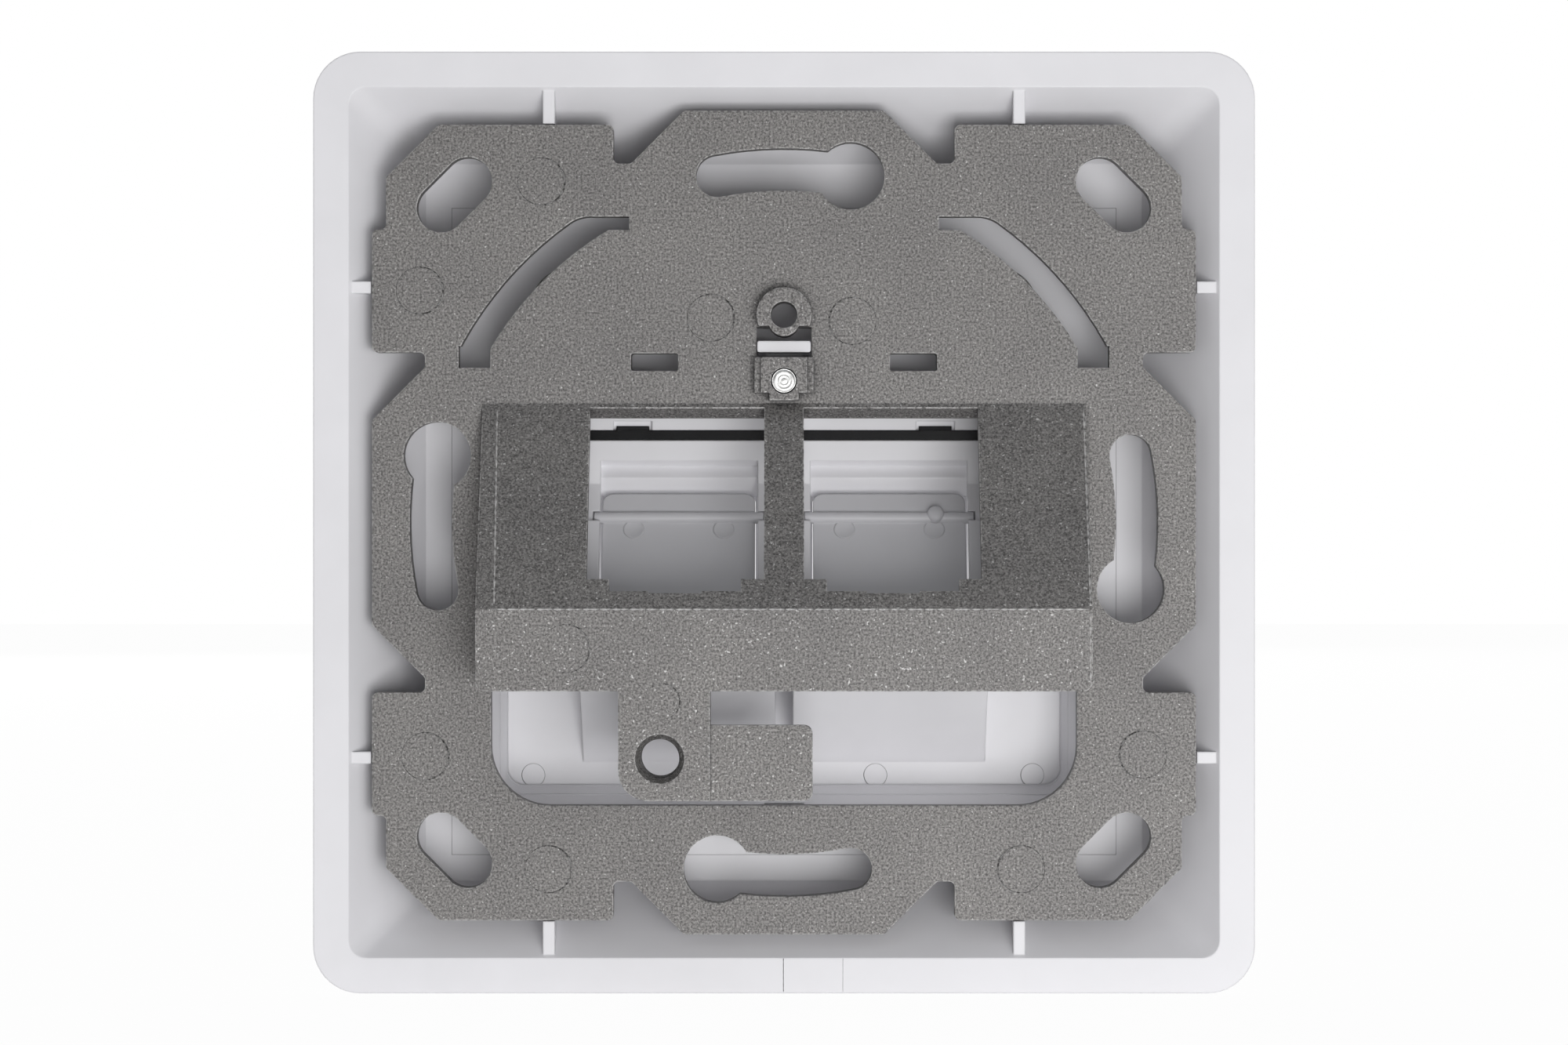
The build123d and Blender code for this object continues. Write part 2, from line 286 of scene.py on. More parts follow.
    def finish(self, shader: Socket) -> Material:
        """Connect the surface and hand back the material.

        Args:
            shader: The shader's socket.

        Returns:
            The finished material.
        """
        out = self.add("ShaderNodeOutputMaterial")
        self.join(shader, out.inputs["Surface"])
        return self.material


@dataclass(frozen=True)
class CastZinc:
    """Blasted die-cast zinc: grey grain, bright specks as painted glints, painted highlights on free edges
    and painted shade in inner corners.
    """

    name: str = "cast_zinc"
    dark: Colour = (0.085, 0.081, 0.079)
    light: Colour = (0.335, 0.324, 0.314)
    grain_per_metre: float = 5200.0
    grain_stops: Range = (0.36, 0.66)
    roughness: Range = (0.62, 0.44)
    metallic: float = 0.45
    relief_strength: float = 0.5
    relief_depth: float = 0.05 * MM
    # Painted glints: bright specks laid into the colour; the same colour paints the edge highlights.
    glint_colour: Colour = (0.78, 0.77, 0.76)
    glint_per_metre: float = 4160.0
    glint_stops: Range = (0.68, 0.76)
    glint_share: float = 0.7
    # Painted highlight on free convex edges, in patches, in place of light caught by rounded edges.
    highlight_per_metre: float = 2600.0
    highlight_stops: Range = (0.40, 0.56)
    least_highlight: float = 0.1
    edge_band: float = 0.20 * MM
    hollow_reach: float = 0.9 * MM
    open_stops: Range = (0.80, 0.92)
    # Painted shade: the colour darkens in inner corners, where little open space surrounds a point.
    painted_shade_stops: Range = (0.35, 0.85)
    painted_corner_shade: Colour = (0.38, 0.38, 0.39)
    patch_per_metre: float = 110.0
    patch_stops: Range = (0.3, 0.7)
    patch_shade: Colour = (0.84, 0.84, 0.85)

    def build(self) -> Material:
        """Build the zinc material.

        Returns:
            The material.
        """
        graph = Graph(bpy.data.materials.new(self.name))
        grain = graph.noise(self.grain_per_metre, 2.5, 0.75)
        body = graph.ramp(grain, self.grain_stops, self.dark, self.light)
        # Painted glints: bright specks laid into the base colour.
        glint = graph.noise(self.glint_per_metre, 1.0, 0.5)
        glints = graph.ramp(glint, self.glint_stops, BLACK, grey(self.glint_share))
        glinted = graph.blend(glints, body, self.glint_colour)
        rounded = graph.rounded_normal(self.edge_band)
        hollow = graph.add("ShaderNodeAmbientOcclusion", samples=6, in_Distance=self.hollow_reach)
        openness = hollow.outputs["AO"]
        # Painted highlight: free edges lightened towards the glint colour.
        highlighted = graph.blend(self.edge_highlight(graph, rounded, openness), glinted, self.glint_colour)
        patches = graph.noise(self.patch_per_metre, 4.0)
        tone = graph.ramp(patches, self.patch_stops, self.patch_shade, WHITE)
        # Painted shade in inner corners, from the ambient occlusion.
        painted_shade = graph.ramp(openness, self.painted_shade_stops, self.painted_corner_shade, WHITE)
        shader = graph.surface(
            colour=graph.tint(graph.tint(highlighted, tone), painted_shade),
            roughness=graph.spread(grain, self.roughness),
            normal=graph.bump(grain, self.relief_strength, self.relief_depth, rounded),
            in_Metallic=self.metallic,
        )
        return graph.finish(shader.outputs["BSDF"])

    def edge_highlight(self, graph: Graph, rounded: Socket, openness: Socket) -> Socket:
        """Find where edges get painted highlight: in patches, and only where they stand free.

        Args:
            graph: The material's graph.
            rounded: The rounded normal.
            openness: The share of open space around a point.

        Returns:
            The share of painted highlight.
        """
        noise = graph.noise(self.highlight_per_metre, 2.0)
        patches = graph.ramp(noise, self.highlight_stops, grey(self.least_highlight), WHITE)
        free = graph.ramp(openness, self.open_stops, BLACK, WHITE)
        return graph.times(graph.times(graph.edge_mask(rounded), patches), free)


@dataclass(frozen=True)
class WhiteMoulding:
    """Smooth white moulded plastic with a faint flow pattern and softly rounded edges."""

    name: str = "white_moulding"
    colour: Colour = (0.845, 0.838, 0.865)
    shade: Colour = (0.81, 0.803, 0.828)
    flow_per_metre: float = 90.0
    flow_stops: Range = (0.35, 0.65)
    fine_per_metre: float = 5200.0
    edge_radius: float = 0.22 * MM
    roughness: Range = (0.30, 0.42)
    relief_strength: float = 0.08
    relief_depth: float = 0.02 * MM

    def build(self) -> Material:
        """Build the plastic material.

        Returns:
            The material.
        """
        graph = Graph(bpy.data.materials.new(self.name))
        flow = graph.noise(self.flow_per_metre, 3.0)
        fine = graph.noise(self.fine_per_metre, 2.0)
        rounded = graph.rounded_normal(self.edge_radius)
        shader = graph.surface(
            colour=graph.ramp(flow, self.flow_stops, self.shade, self.colour),
            roughness=graph.spread(flow, self.roughness),
            normal=graph.bump(fine, self.relief_strength, self.relief_depth, rounded),
        )
        return graph.finish(shader.outputs["BSDF"])


@dataclass(frozen=True)
class DarkenedClear:
    """Clear plastic of the label cover, tinted near black as painted shade for the darkness seen through
    it.
    """

    name: str = "clear_painted_dark"
    # Near-black tint: painted shade standing in for the darkness seen through the clear cover.
    colour: Colour = (0.004, 0.004, 0.005)
    haze_per_metre: float = 400.0
    roughness: Range = (0.16, 0.28)
    opacity: float = 0.93
    sheen: float = 0.12

    def build(self) -> Material:
        """Build the smoked material.

        Returns:
            The material.
        """
        graph = Graph(bpy.data.materials.new(self.name))
        haze = graph.noise(self.haze_per_metre, 3.0)
        shader = graph.surface(
            roughness=graph.spread(haze, self.roughness),
            in_Base_Color=(*self.colour, 1.0),
            in_Alpha=self.opacity,
            in_Specular_IOR_Level=self.sheen,
        )
        return graph.finish(shader.outputs["BSDF"])


@dataclass(frozen=True)
class BrightScrew:
    """Bright turned steel with fine drawn marks."""

    name: str = "bright_screw"
    colour: Colour = (0.86, 0.86, 0.85)
    shade: Colour = (0.5, 0.5, 0.49)
    marks_per_metre: float = 2600.0
    mark_stops: Range = (0.3, 0.6)
    roughness: float = 0.34
    relief_strength: float = 0.35
    relief_depth: float = 0.04 * MM

    def build(self) -> Material:
        """Build the steel material.

        Returns:
            The material.
        """
        graph = Graph(bpy.data.materials.new(self.name))
        marks = graph.noise(self.marks_per_metre, 4.0)
        shader = graph.surface(
            colour=graph.ramp(marks, self.mark_stops, self.shade, self.colour),
            normal=graph.bump(marks, self.relief_strength, self.relief_depth),
            in_Metallic=1.0,
            in_Roughness=self.roughness,
        )
        return graph.finish(shader.outputs["BSDF"])


@dataclass(frozen=True)
class Sheet:
    """A flat local frame, in millimetres, on which small raised forms are drawn."""

    origin: Point = (0.0, 0.0, 0.0)
    across: Point = (1.0, 0.0, 0.0)
    up: Point = (0.0, 0.0, 1.0)
    normal: Point = (0.0, 1.0, 0.0)

    @classmethod
    def leaning(cls, origin: Point, tilt: float) -> "Sheet":
        """Give a sheet that faces the wall side and looks up by an angle.

        Args:
            origin: Its origin, in millimetres.
            tilt: The angle in degrees.

        Returns:
            The sheet.
        """
        lean = math.radians(tilt)
        rising = (0.0, -math.sin(lean), math.cos(lean))
        return cls(origin=origin, up=rising, normal=(0.0, math.cos(lean), math.sin(lean)))

    def at(self, x: float, z: float, height: float) -> Vector:
        """Give a point of the row frame.

        Args:
            x: Millimetres across the sheet.
            z: Millimetres up the sheet.
            height: Millimetres above the sheet.

        Returns:
            The point in metres.
        """
        point = Vector(self.origin) + Vector(self.across) * x
        point += Vector(self.up) * z + Vector(self.normal) * height
        return point * MM


@dataclass
class Solid:
    """One small closed mesh that grows by rings of points."""

    name: str
    rings: List[List[Vector]] = field(default_factory=list)

    def faces(self, closed: bool) -> List[Tuple[int, ...]]:
        """Give the faces between neighbouring rings, and the two ends of an open row.

        Args:
            closed: Whether the last ring joins the first.

        Returns:
            The faces as point numbers.
        """
        count, size = len(self.rings), len(self.rings[0])
        faces = []
        for row in range(count if closed else count - 1):
            here, there = row * size, ((row + 1) % count) * size
            for col in range(size):
                after = (col + 1) % size
                faces.append((here + col, here + after, there + after, there + col))
        if not closed:
            faces.append(tuple(range(size)))
            faces.append(tuple(range((count - 1) * size, count * size)))
        return faces

    def build(self, closed: bool, body: Body, slot: Slot, material: Material) -> None:
        """Skin the rings and hang the piece on its body.

        Args:
            closed: Whether the last ring joins the first.
            body: The rigid body that carries the piece.
            slot: Not used.
            material: Its finish.
        """
        points = [point for ring in self.rings for point in ring]
        mesh = bpy.data.meshes.new(self.name)
        mesh.from_pydata(points, [], self.faces(closed))
        shape = bmesh.new()
        shape.from_mesh(mesh)
        bmesh.ops.recalc_face_normals(shape, faces=shape.faces)
        shape.to_mesh(mesh)
        shape.free()
        mesh.materials.append(material)
        for polygon in mesh.polygons:
            polygon.use_smooth = len(polygon.vertices) == 4
        piece = bpy.data.objects.new(self.name, mesh)
        bpy.context.scene.collection.objects.link(piece)
        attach(piece, body.value)
        log.info("built %s", self.name)


# Bead profiles: offset across the path and height, as shares of the bead's width and height
RIDGE: Sequence[Place] = ((-0.5, -0.4), (-0.3, 0.7), (0.0, 1.0), (0.3, 0.7), (0.5, -0.4))
THREAD: Sequence[Place] = ((0.3, -1.0), (-1.0, -0.12), (-1.0, 0.12), (0.3, 1.0))


@dataclass(frozen=True)
class Bead:
    """A thin ridge along a path on a sheet; size is its width and height."""

    name: str
    path: Sequence[Place]
    size: Place
    closed: bool = True
    swell: Sequence[float] = (1.0,)
    profile: Sequence[Place] = RIDGE

    def direction(self, index: int) -> Vector:
        """Give the path's direction at one of its points.

        Args:
            index: The point's number.

        Returns:
            The direction, with length 1.
        """
        last = len(self.path) - 1
        if self.closed:
            before, after = self.path[index - 1], self.path[(index + 1) % (last + 1)]
        else:
            before, after = self.path[max(index - 1, 0)], self.path[min(index + 1, last)]
        return Vector((after[0] - before[0], after[1] - before[1])).normalized()

    def build(self, sheet: Sheet, body: Body, slot: Slot, material: Material) -> None:
        """Sweep the profile along the path.

        Args:
            sheet: The frame of the path.
            body: The rigid body that carries the piece.
            slot: The material slot that it belongs to.
            material: Its finish.
        """
        solid = Solid(self.name)
        for index, (x, z) in enumerate(self.path):
            run = self.direction(index)
            grow = self.swell[index % len(self.swell)]
            width, height = self.size[0] * grow, self.size[1] * grow
            solid.rings.append([
                sheet.at(x - run.y * aside * width, z + run.x * aside * width, rise * height)
                for aside, rise in self.profile
            ])
        solid.build(self.closed, body, slot, material)


@dataclass(frozen=True)
class Button:
    """A turned form on a sheet: a pad, a dimple or a rounded stud."""

    name: str
    centre: Place
    profile: Sequence[Place]
    segments: int = 40

    def build(self, sheet: Sheet, body: Body, slot: Slot, material: Material) -> None:
        """Turn the profile of radius and height about the centre.

        Args:
            sheet: The frame of the centre.
            body: The rigid body that carries the piece.
            slot: The material slot that it belongs to.
            material: Its finish.
        """
        solid = Solid(self.name)
        for radius, height in self.profile:
            round_path = circle(*self.centre, radius, self.segments)
            solid.rings.append([sheet.at(x, z, height) for x, z in round_path])
        solid.build(False, body, slot, material)


def circle(x: float, z: float, radius: float, count: int = 64) -> List[Place]:
    """Give the points of a circle.

    Args:
        x: The centre across.
        z: The centre up.
        radius: The radius.
        count: How many points.

    Returns:
        The points, anticlockwise from the right.
    """
    turns = [2 * math.pi * step / count for step in range(count)]
    return [(x + radius * math.cos(turn), z + radius * math.sin(turn)) for turn in turns]


def straight(start: Place, end: Place, count: int) -> List[Place]:
    """Give evenly spaced points from one place to another.

    Args:
        start: The first point.
        end: The last point.
        count: How many steps lie between them.

    Returns:
        The points.
    """
    run = (end[0] - start[0], end[1] - start[1])
    shares = [step / count for step in range(count + 1)]
    return [(start[0] + run[0] * share, start[1] + run[1] * share) for share in shares]


def lobe(strong: float, faint: float, count: int = 64) -> List[float]:
    """Give swell factors that peak at one angle.

    Args:
        strong: The angle of the strongest part, in degrees.
        faint: The factor of the weakest part.
        count: How many factors.

    Returns:
        The factors around the circle.
    """
    peak = math.radians(strong)
    turns = [2 * math.pi * step / count for step in range(count)]
    return [faint + (1.0 - faint) * (0.5 + 0.5 * math.cos(turn - peak)) ** 1.5 for turn in turns]


@dataclass(frozen=True)
class CarrierMarks:
    """Ejector rings in painted shadow and bright lines of painted edge highlight on the casting, and the
    thread of the earthing hole.

    A ring gives its face, centre, radius and strongest angle; a line its name, face and two ends.
    """

    rings: Sequence[Tuple[Face, float, float, float, float]] = (
        (Face.PLATE, 30.49, -19.86, 2.0, 180.0),
        (Face.PLATE, 20.03, -29.46, 2.0, 160.0),
        (Face.PLATE, -20.16, -29.46, 2.0, 20.0),
        (Face.PLATE, -30.50, -19.72, 2.0, 20.0),
        (Face.PLATE, -5.83, 17.12, 2.0, 20.0),
        (Face.PLATE, 6.23, 17.39, 2.0, 150.0),
        (Face.PLATE, 20.62, 28.98, 2.0, 200.0),
        (Face.PLATE, 30.95, 19.72, 2.0, 200.0),
        (Face.BLOCK, 18.10, -10.46, 2.0, 170.0),
        (Face.BLOCK, 10.11, -14.84, 1.47, 170.0),
    )
    ring_size: Place = (0.16, 0.05)
    ring_faint: float = 0.3
    # Bright lines along edges and the crest: painted highlight.
    lines: Sequence[Tuple[str, Face, Place, Place]] = (
        ("slope_edge_line", Face.SLOPE, (24.35, -0.5), (24.05, -19.5)),
        ("slope_side_line", Face.SLOPE, (-25.42, -0.5), (-25.42, -19.7)),
        ("crest_line", Face.CREST, (24.05, 0.0), (-25.3, 0.0)),
        ("block_side_line", Face.BLOCK, (-25.42, -7.4), (-25.42, -13.3)),
    )
    line_size: Place = (0.28, 0.05)
    line_step: float = 0.35
    line_dashes: Sequence[float] = (1.0, 0.45, 0.8, 0.2, 0.95, 0.6, 0.25, 0.9, 0.3, 0.7, 0.15)
    slope_top: float = 10.13
    tilt: float = 30.0
    block_face: float = 9.985
    crest_z: float = -7.19
    hole: Point = (10.31, -19.6, 1.65)
    thread_start: float = 8.6
    thread_pitch: float = 0.7
    thread_turns: int = 5
    thread_size: Place = (0.16, 0.30)
    thread_points: int = 48

    def sheet(self, face: Face) -> Sheet:
        """Give the frame of one face.

        Args:
            face: The face.

        Returns:
            Its sheet.
        """
        if face is Face.SLOPE:
            return Sheet.leaning((0.0, 0.0, self.slope_top), self.tilt)
        if face is Face.CREST:
            return Sheet.leaning((0.0, self.block_face, self.crest_z), self.tilt / 2)
        return Sheet(origin=(0.0, self.block_face if face is Face.BLOCK else 0.0, 0.0))

    def build(self, mark: Material, metal: Material, bright: Material) -> None:
        """Build the bright lines of painted highlight, the rings and the thread.

        Args:
            mark: The darker finish of the rings: painted shadow of their small steps.
            metal: The casting's finish.
            bright: The finish of a bright line: painted highlight.
        """
        for name, face, start, end in self.lines:
            path = straight(start, end, round(math.dist(start, end) / self.line_step))
            line = Bead(name, path, self.line_size, closed=False, swell=self.line_dashes)
            line.build(self.sheet(face), Body.HOUSING, Slot.ZINC, bright)
        for index, (face, x, z, radius, strong) in enumerate(self.rings):
            swell = lobe(strong, self.ring_faint)
            ring = Bead(f"ejector_ring_{index}", circle(x, z, radius), self.ring_size, swell=swell)
            ring.build(self.sheet(face), Body.HOUSING, Slot.ZINC, mark)
        bore = circle(*self.hole, self.thread_points)
        for turn in range(self.thread_turns):
            thread = Bead(f"earth_thread_{turn}", bore, self.thread_size, profile=THREAD)
            level = Sheet(origin=(0.0, self.thread_start - turn * self.thread_pitch, 0.0))
            thread.build(level, Body.HOUSING, Slot.ZINC, metal)


@dataclass(frozen=True)
class CoverMarks:
    """Seams, ejector marks, skirt steps and weld lines of the cover's inner side."""

    floor_y: float = -7.7
    mark_places: Sequence[Place] = ((21.69, -21.86), (-7.91, -21.86), (-21.49, -21.86))
    mark_radius: float = 1.0
    mark_size: Place = (0.09, 0.03)
    mark_strong: float = 300.0
    mark_faint: float = 0.5
    seam_half: float = 28.75
    seam_top: float = 27.2
    seam_size: Place = (0.07, 0.03)
    skirt_half: float = 23.95
    skirt_low: float = -22.75
    skirt_top: float = 6.0
    skirt_lean: float = 1.3
    skirt_corner: float = 1.6
    skirt_steps: Sequence[Place] = ((0.05, -7.35), (0.55, -5.0))
    step_size: Place = (0.22, 0.12)
    corner_parts: int = 9
    weld_lines: Sequence[Place] = ((0.05, 0.10), (-5.0, 0.05))
    weld_ends: Range = (-37.05, -39.85)
    weld_parts: int = 10
    weld_height: float = 0.02

    def build(self, white: Material, shade: Material) -> None:
        """Build all marks.

        Args:
            white: The cover's finish.
            shade: The slightly darker finish of seams and weld lines.
        """
        floor = Sheet(origin=(0.0, self.floor_y, 0.0))
        swell = lobe(self.mark_strong, self.mark_faint)
        for index, place in enumerate(self.mark_places):
            path = circle(*place, self.mark_radius)
            mark = Bead(f"floor_mark_{index}", path, self.mark_size, swell=swell)
            mark.build(floor, Body.HOUSING, Slot.WHITE, shade)
        half, top = self.seam_half, self.seam_top
        painted_shade = [(half, -half), (half, top), (-half, top), (-half, -half)]
        Bead("floor_seam", painted_shade, self.seam_size).build(floor, Body.HOUSING, Slot.WHITE, shade)
        for index, (out, depth) in enumerate(self.skirt_steps):
            step = Bead(f"skirt_step_{index}", self.skirt_path(out), self.step_size, closed=False)
            step.build(Sheet(origin=(0.0, depth, 0.0)), Body.HOUSING, Slot.WHITE, white)
        for index, (x, width) in enumerate(self.weld_lines):
            first, last = self.weld_ends
            path = straight((x, first), (x, last), self.weld_parts)
            size = (width, self.weld_height)
            line = Bead(f"weld_line_{index}", path, size, closed=False, swell=(1.0, 0.7))
            line.build(Sheet(), Body.HOUSING, Slot.WHITE, shade)

    def skirt_path(self, out: float) -> List[Place]:
        """Give the path down one side of the skirt, round its corners and up the other side.

        Args:
            out: How far the path stands outside the skirt's smallest outline.

        Returns:
            The path's points.
        """
        reach, corner = self.skirt_half + out, self.skirt_corner + out
        down = self.skirt_low - out * self.skirt_lean
        path = [(reach, self.skirt_top), (reach, down + corner)]
        for step in range(1, self.corner_parts):
            turn = math.radians(-90.0 * step / self.corner_parts)
            path.append((reach - corner + corner * math.cos(turn), down + corner + corner * math.sin(turn)))
        return path + [(-x, z) for x, z in reversed(path)]


@dataclass(frozen=True)
class PortMouth:
    """The rounded lips and corner fillets of one port's opening in the front wall."""

    x: float
    half: float = 6.65
    top: float = 2.3
    bottom: float = -19.8
    lip_y: float = -9.18
    lip_size: Place = (0.50, 0.055)
    lip_parts: int = 12
    top_gap: float = 0.02
    corner: float = 0.8
    corner_parts: int = 8
    overlap: float = 0.05
    rim_share: float = 0.94
    levels: Sequence[Place] = ((-9.38, rim_share), (-9.33, 1.0), (-9.03, 1.0), (-8.98, rim_share))

    def build(self, white: Material) -> None:
        """Build the side lips and the corners.

        Args:
            white: The cover's finish.
        """
        label = "left" if self.x < 0 else "right"
        path = straight((0.0, self.top - self.top_gap), (0.0, self.bottom - self.top_gap), self.lip_parts)
        for name, side in (("a", -1.0), ("b", 1.0)):
            sheet = Sheet(
                origin=(self.x + side * self.half, self.lip_y, 0.0),
                across=(0.0, 1.0, 0.0),
                normal=(-side, 0.0, 0.0),
            )
            lip = Bead(f"mouth_lip_{label}_{name}", path, self.lip_size, closed=False)
            lip.build(sheet, Body.HOUSING, Slot.WHITE, white)
            self.fillet(f"mouth_corner_{label}_{name}", side, white)

    def fillet(self, name: str, side: float, white: Material) -> None:
        """Build one concave corner fillet.

        Args:
            name: The piece's name.
            side: Which side of the opening, -1 or 1.
            white: The cover's finish.
        """
        solid = Solid(name)
        outline = [(self.overlap, self.overlap)]
        for step in range(self.corner_parts + 1):
            turn = math.radians(90.0 * step / self.corner_parts)
            outline.append((-self.corner * (1 - math.sin(turn)), -self.corner * (1 - math.cos(turn))))
        for depth, share in self.levels:
            solid.rings.append([
                Vector((self.x + side * (self.half + out * share), depth, self.top + down * share)) * MM
                for out, down in outline
            ])
        solid.build(False, Body.HOUSING, Slot.WHITE, white)


@dataclass(frozen=True)
class FlapMarks:
    """Ejector discs on the back of one flap, and its stud where it has one."""

    body: Body
    x: float
    stud_x: Optional[float] = None
    stud_z: float = 0.15
    disc_x: Sequence[float] = (-3.87, 3.87)
    disc_z: float = -1.15
    pivot: Place = (-6.35, 0.4)
    tilt: float = 30.0
    disc: Sequence[Place] = ((0.93, -0.05), (0.92, 0.02), (0.85, 0.045), (0.80, 0.03), (0.05, 0.03))
    stud: Sequence[Place] = (
        (0.72, -0.2), (0.71, 0.55), (0.66, 0.68), (0.52, 0.78), (0.30, 0.83), (0.03, 0.84))

    def build(self, white: Material) -> None:
        """Build the discs and, where the flap has one, its stud.

        Args:
            white: The flap's finish, darkened as painted shade.
        """
        sheet = Sheet.leaning((self.x, *self.pivot), self.tilt)
        side = self.body.value.split("_")[1]
        for index, aside in enumerate(self.disc_x):
            disc = Button(f"flap_{side}_disc_{index}", (aside, self.disc_z), self.disc)
            disc.build(sheet, self.body, Slot.FLAP, white)
        if self.stud_x is not None:
            stud = Button(f"flap_{side}_stud", (self.stud_x, self.stud_z), self.stud)
            stud.build(sheet, self.body, Slot.FLAP, white)


@dataclass(frozen=True)
class ScrewEnd:
    """The turned end of the cover screw's shank."""

    centre: Place = (0.0, 12.0)
    end_y: float = 1.4
    segments: int = 48
    profile: Sequence[Place] = (
        (0.97, -0.25), (0.99, -0.08), (0.93, 0.0), (0.80, 0.045), (0.62, 0.05), (0.56, 0.02),
        (0.50, 0.05), (0.34, 0.06), (0.28, 0.025), (0.22, 0.05), (0.03, 0.05))

    def build(self, steel: Material) -> None:
        """Build the end face with its turning marks."""
        end = Button("screw_end", self.centre, self.profile, self.segments)
        end.build(Sheet(origin=(0.0, self.end_y, 0.0)), Body.HOUSING, Slot.STEEL, steel)


@dataclass(frozen=True)
class Lamp:
    """One square soft light that faces the object; sizes are in metres and the power in watts."""

    name: str
    place: Point
    size: float
    power: float
    colour: Colour = WHITE

    def build(self) -> None:
        """Hang the lamp."""
        data = bpy.data.lights.new(self.name, "AREA")
        data.size = self.size
        data.energy = self.power
        data.color = self.colour
        lamp = bpy.data.objects.new(self.name, data)
        lamp.location = self.place
        lamp.rotation_euler = (-Vector(self.place)).to_track_quat("-Z", "Y").to_euler()
        bpy.context.scene.collection.objects.link(lamp)


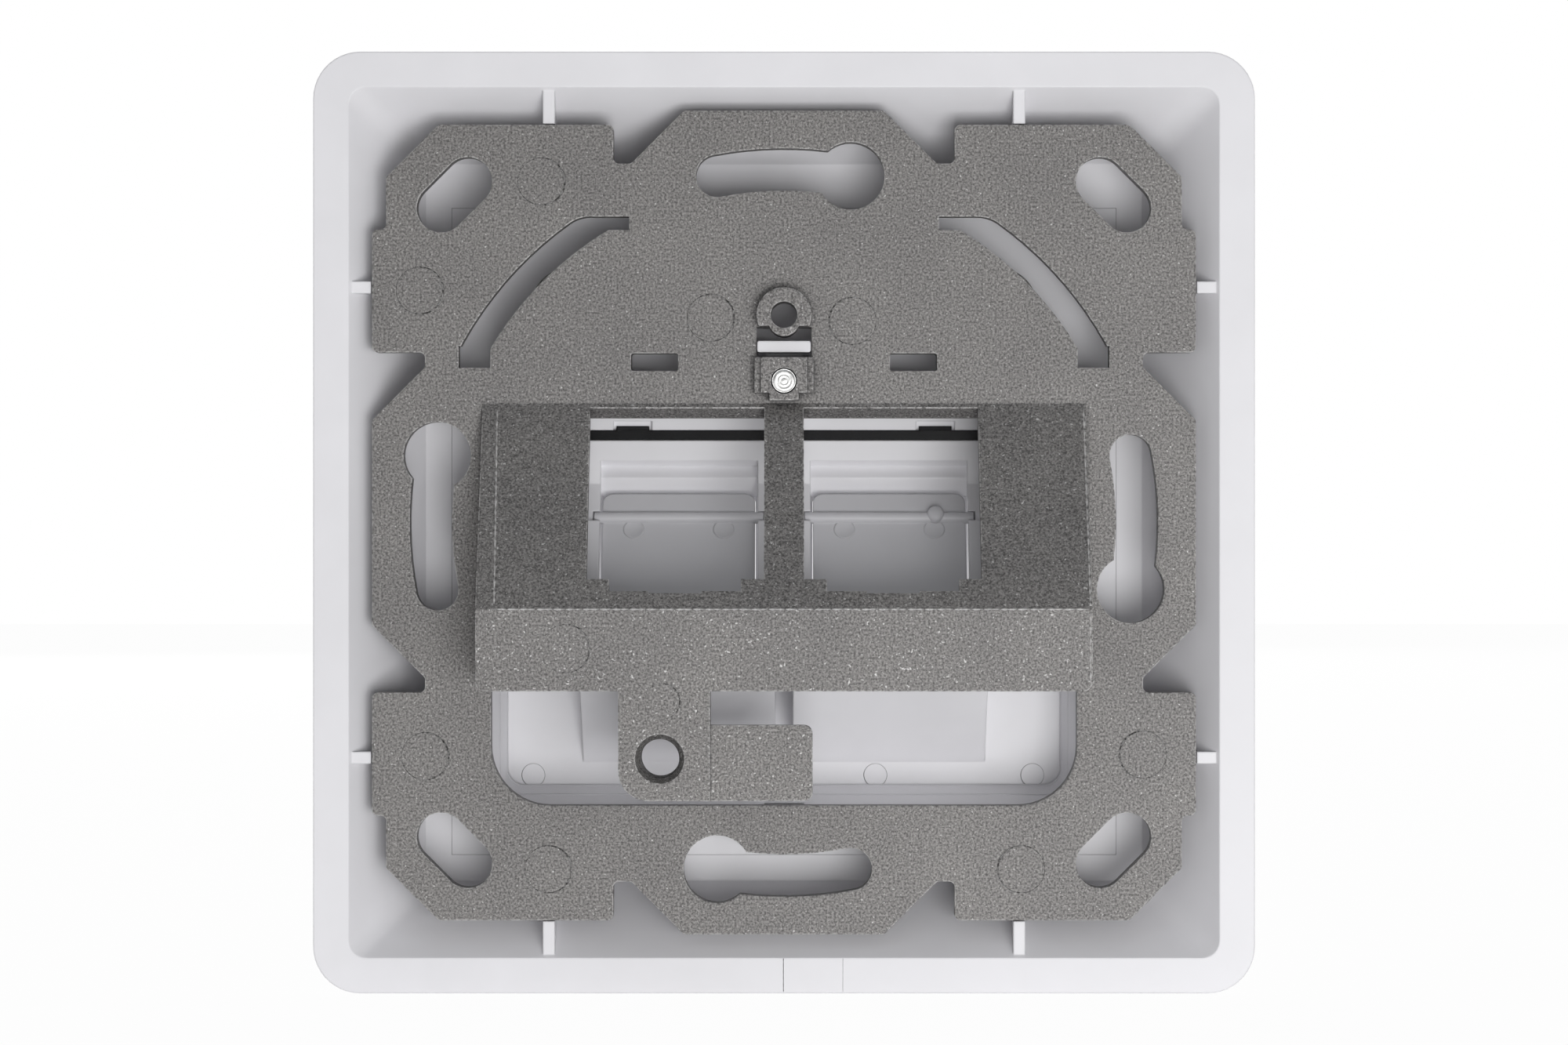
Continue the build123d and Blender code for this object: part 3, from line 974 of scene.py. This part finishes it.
@dataclass(frozen=True)
class Stage:
    """Floor, world, lamps and the camera."""

    distance: float = 0.410
    sensor_width: float = 36.0
    lens: float = 110.8
    floor_z: float = -0.0402
    floor_reach: float = 1.5
    floor_colour: Colour = (0.95, 0.95, 0.95)
    white_share: float = 0.97
    world_level: float = 0.34
    lamps: Sequence[Lamp] = (
        Lamp("key", (-0.10, 0.50, -0.14), 0.26, 1.5),
        Lamp("side", (-0.40, 0.50, -0.12), 0.25, 0.4),
        Lamp("top", (0.0, 0.35, 0.60), 0.40, 0.15, (0.80, 0.90, 1.0)),
        Lamp("front", (0.20, -0.90, 0.40), 0.80, 4.0),
    )

    def white_for_camera(self, graph: Graph, lit: Socket) -> Socket:
        """Blend a lit shader with plain white where it is only the picture's background.

        Args:
            graph: The material's graph.
            lit: The lit shader.

        Returns:
            The blended shader's socket.
        """
        rays = graph.add("ShaderNodeLightPath")
        seen = graph.add("ShaderNodeMath", operation="MAXIMUM")
        graph.join(rays.outputs["Is Camera Ray"], seen.inputs[0])
        graph.join(rays.outputs["Is Glossy Ray"], seen.inputs[1])
        through = graph.add("ShaderNodeMath", operation="MAXIMUM")
        graph.join(seen.outputs[0], through.inputs[0])
        graph.join(rays.outputs["Is Transmission Ray"], through.inputs[1])
        share = graph.add("ShaderNodeMath", operation="MULTIPLY")
        graph.join(through.outputs[0], share.inputs[0])
        share.inputs[1].default_value = self.white_share
        glow = graph.add("ShaderNodeEmission", in_Strength=1.0)
        mix = graph.add("ShaderNodeMixShader")
        for index, source in enumerate((share.outputs[0], lit, glow.outputs[0])):
            graph.join(source, mix.inputs[index])
        return mix.outputs[0]

    def floor(self) -> None:
        """Lay the pale floor under the object; it lets the low lamps' light through."""
        reach = self.floor_reach
        painted_shade = [(x, y, self.floor_z) for x, y in ((-reach, -reach), (reach, -reach),
                                                     (reach, reach), (-reach, reach))]
        mesh = bpy.data.meshes.new("floor")
        mesh.from_pydata(painted_shade, [], [(0, 1, 2, 3)])
        floor = bpy.data.objects.new("floor", mesh)
        bpy.context.scene.collection.objects.link(floor)
        graph = Graph(bpy.data.materials.new("pale_floor"))
        lit = graph.add("ShaderNodeBsdfDiffuse", in_Color=(*self.floor_colour, 1.0))
        mesh.materials.append(graph.finish(self.white_for_camera(graph, lit.outputs[0])))
        floor.visible_shadow = False

    def world(self) -> None:
        """Light the whole surroundings evenly, white where the camera sees them."""
        world = bpy.data.worlds.new("studio")
        bpy.context.scene.world = world
        world.use_nodes = True
        tree = world.node_tree
        tree.nodes.clear()
        rays = tree.nodes.new("ShaderNodeLightPath")
        seen = tree.nodes.new("ShaderNodeMath")
        seen.operation = "MAXIMUM"
        tree.links.new(rays.outputs["Is Camera Ray"], seen.inputs[0])
        tree.links.new(rays.outputs["Is Transmission Ray"], seen.inputs[1])
        level = tree.nodes.new("ShaderNodeMapRange")
        level.inputs["To Min"].default_value = self.world_level
        level.inputs["To Max"].default_value = 1.0
        tree.links.new(seen.outputs[0], level.inputs["Value"])
        glow = tree.nodes.new("ShaderNodeBackground")
        glow.inputs["Color"].default_value = (*WHITE, 1.0)
        tree.links.new(level.outputs["Result"], glow.inputs["Strength"])
        out = tree.nodes.new("ShaderNodeOutputWorld")
        tree.links.new(glow.outputs[0], out.inputs["Surface"])

    def camera(self) -> None:
        """Set the camera square to the wall side, at the photograph's distance."""
        data = bpy.data.cameras.new("camera")
        data.sensor_width = self.sensor_width
        data.lens = self.lens
        camera = bpy.data.objects.new("camera", data)
        camera.location = (0.0, self.distance, 0.0)
        camera.rotation_euler = (math.radians(90), 0.0, math.radians(180))
        bpy.context.scene.collection.objects.link(camera)
        bpy.context.scene.camera = camera

    def build(self) -> None:
        """Set everything up."""
        bpy.context.scene.view_settings.view_transform = "Standard"
        self.floor()
        self.world()
        for lamp in self.lamps:
            lamp.build()
        self.camera()


ZINC = CastZinc()
# A darker copy of the zinc: painted shadow along the ejector rings.
RING_SHADOW_ZINC = CastZinc(name="zinc_painted_ring_shadow", dark=(0.02, 0.019, 0.018), light=(0.10, 0.095, 0.09))
# A near-white copy of the zinc: painted highlight for the bright lines along the casting's edges.
EDGE_HIGHLIGHT_ZINC = CastZinc(name="zinc_painted_highlight", dark=(0.50, 0.49, 0.48), light=(0.92, 0.91, 0.90))
WHITE_PLASTIC = WhiteMoulding()
# A darker copy of the white moulding: painted shade of the flaps, which sit deep in their recess.
SHADED_FLAP_PLASTIC = WhiteMoulding(name="flap_moulding_painted_shade", colour=(0.68, 0.675, 0.70), shade=(0.64, 0.635, 0.66))
SEAM_PLASTIC = WhiteMoulding(name="white_seam", colour=(0.60, 0.595, 0.61), shade=(0.55, 0.545, 0.56))

PORT_X = 9.07
STUD_X = -4.0


def dress(node: str, material: Material) -> None:
    """Give a CAD node its finish.

    Args:
        node: The node's name.
        material: The finish.
    """
    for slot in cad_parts[node].material_slots:
        slot.material = material
    log.info("dressed %s", node)


def main() -> None:
    """Dress the nodes, add the small forms and set the stage."""
    Stage().build()
    # The flaps' darker finish is painted shade.
    zinc, white, flap_white = ZINC.build(), WHITE_PLASTIC.build(), SHADED_FLAP_PLASTIC.build()
    steel, dark_clear = BrightScrew().build(), DarkenedClear().build()
    dress("carrier", zinc)
    dress("cover", white)
    dress("flap_left", flap_white)
    dress("flap_right", flap_white)
    dress("label_cover", dark_clear)
    dress("cover_screw", steel)
    CarrierMarks().build(RING_SHADOW_ZINC.build(), zinc, EDGE_HIGHLIGHT_ZINC.build())
    CoverMarks().build(white, SEAM_PLASTIC.build())
    PortMouth(-PORT_X).build(white)
    PortMouth(PORT_X).build(white)
    FlapMarks(Body.FLAP_LEFT, -PORT_X, stud_x=STUD_X).build(flap_white)
    FlapMarks(Body.FLAP_RIGHT, PORT_X).build(flap_white)
    ScrewEnd().build(steel)


if __name__ == "__main__":
    main()
